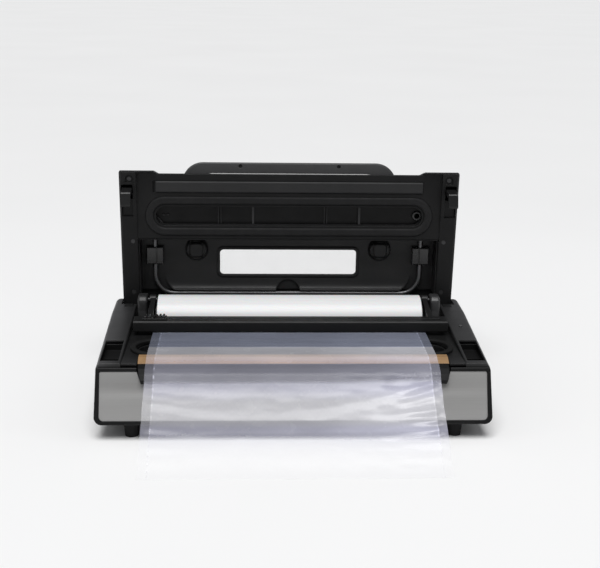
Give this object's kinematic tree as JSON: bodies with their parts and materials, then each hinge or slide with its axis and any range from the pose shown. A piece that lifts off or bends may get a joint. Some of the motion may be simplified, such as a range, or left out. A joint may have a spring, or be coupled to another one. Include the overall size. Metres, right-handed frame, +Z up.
{
  "type": "vacuum sealer",
  "caption": "Countertop vacuum sealer with an upright hinged lid, locking handle, film roll bay with sliding cutter, vacuum trough, sealing strip and steel front.",
  "frame": {"origin": "middle of the footprint with the lid open and the film pulled out, on the table", "axes": "+Z up, +Y to the rear (hinge side), +X to the user's right"},
  "size_m": [0.408, 0.3371, 0.2453],
  "materials": {
    "black_plastic": "fine-grained black moulding",
    "arm_plastic": "satin black moulding",
    "inner_plastic": "dark grey moulding",
    "brushed_steel": "brushed along the width",
    "foam_rubber": "matt closed-cell foam",
    "silicone": "matt silicone",
    "foot_rubber": "matt rubber",
    "ptfe_cloth": "coated woven glass tape",
    "phenolic": "insulating bar",
    "element": "flat resistance strip",
    "film": "clear embossed film",
    "film_wound": "many layers of clear film",
    "cardboard": "grey-brown wound board",
    "plug_plastic": "ribbed moulding",
    "clear_window": "clear sheet",
    "black_wire": "gloss black bent wire",
    "zinc_screw": "blackened steel",
    "pin_steel": "ground pin",
    "blade_steel": "ground blade",
    "motor_metal": "plated can",
    "pump_plastic": "moulded pump head",
    "hose_rubber": "translucent tube",
    "iron_core": "laminated core",
    "circuit_board": "printed board",
    "overlay": "gloss control film",
    "button_grey": "soft grey cap",
    "lens_green": "light pipe",
    "handle_plastic": "satin dark moulding"
  },
  "bodies": {
    "base": {"left_side_casing": "arm_plastic", "right_side_casing": "arm_plastic", "chamber_deck": "black_plastic", "film_ramp": "black_plastic", "roll_bay": "black_plastic", "front_bezel": "black_plastic", "front_panel": "brushed_steel", "rear_cover": "black_plastic", "cord_inlet": "foot_rubber", "bottom_cover": "black_plastic", "feet": "foot_rubber", "bottom_screws": "zinc_screw", "heater_bar": "phenolic", "heating_element": "element", "ptfe_tape": "ptfe_cloth", "lower_gasket": "foam_rubber", "drip_tray": "inner_plastic", "pump_motor": "motor_metal", "vacuum_pump": "pump_plastic", "pump_hose": "hose_rubber", "vent_valve": "pump_plastic", "transformer": "iron_core", "power_board": "circuit_board", "lid_switch": "inner_plastic", "roll_stand_left": "inner_plastic", "roll_stand_right": "inner_plastic", "cutter_pivot_pins": "pin_steel", "hinge_pins": "pin_steel", "film_web": "film"},
    "cutter": {"cutter_frame": "black_plastic"},
    "slider": {"cutter_slider": "plug_plastic", "cutter_blade": "blade_steel"},
    "roll": {"film_roll": "film_wound", "roll_core": "cardboard", "roll_plug_left": "plug_plastic", "roll_plug_right": "plug_plastic"},
    "lid": {"lid_frame": "black_plastic", "lid_cover": "arm_plastic", "lid_liner": "inner_plastic", "window_pane": "clear_window", "lid_gasket": "foam_rubber", "pressure_bar": "silicone", "chamber_insert": "black_plastic", "suction_port": "silicone", "wire_bail": "black_wire", "bail_clips": "inner_plastic", "lid_screws": "zinc_screw", "control_overlay": "overlay", "control_board": "circuit_board", "status_lens": "lens_green"},
    "lock": {"lid_handle": "handle_plastic", "lock_shaft": "pin_steel", "lock_hook_left": "handle_plastic", "lock_hook_right": "handle_plastic", "handle_screws": "zinc_screw"},
    "start_key": {"start_button": "button_grey"},
    "stop_key": {"stop_button": "button_grey"},
    "mode_key": {"mode_button": "button_grey"},
    "switch_pin": {"lid_switch_plunger": "button_grey"}
  },
  "joints": [
    {"name": "lid_hinge", "type": "hinge", "parent": "base", "child": "lid", "pos_m": [0, 0.1175, 0.064], "axis": [1, 0, 0], "range_deg": [0, 90]},
    {"name": "lock_turn", "type": "hinge", "parent": "lid", "child": "lock", "pos_m": [0, 0.147, 0.217], "axis": [1, 0, 0], "range_deg": [0, 15]},
    {"name": "cutter_lift", "type": "hinge", "parent": "base", "child": "cutter", "pos_m": [0, 0.1065, 0.093], "axis": [-1, 0, 0], "range_deg": [0, 4]},
    {"name": "cutter_slide", "type": "slide", "parent": "cutter", "child": "slider", "axis": [1, 0, 0], "range_m": [0, 0.3]},
    {"name": "roll_spin", "type": "hinge", "parent": "base", "child": "roll", "pos_m": [0, 0.0985, 0.071], "axis": [1, 0, 0], "continuous": true},
    {"name": "start_press", "type": "slide", "parent": "lid", "child": "start_key", "axis": [0, -1, 0], "range_m": [0, 0.0008], "stiffness_N_per_m": 400},
    {"name": "stop_press", "type": "slide", "parent": "lid", "child": "stop_key", "axis": [0, -1, 0], "range_m": [0, 0.0008], "stiffness_N_per_m": 400},
    {"name": "mode_press", "type": "slide", "parent": "lid", "child": "mode_key", "axis": [0, -1, 0], "range_m": [0, 0.0008], "stiffness_N_per_m": 400},
    {"name": "lid_switch_press", "type": "slide", "parent": "base", "child": "switch_pin", "axis": [0, 0, -1], "range_m": [0, 0.0015], "stiffness_N_per_m": 300}
  ]
}
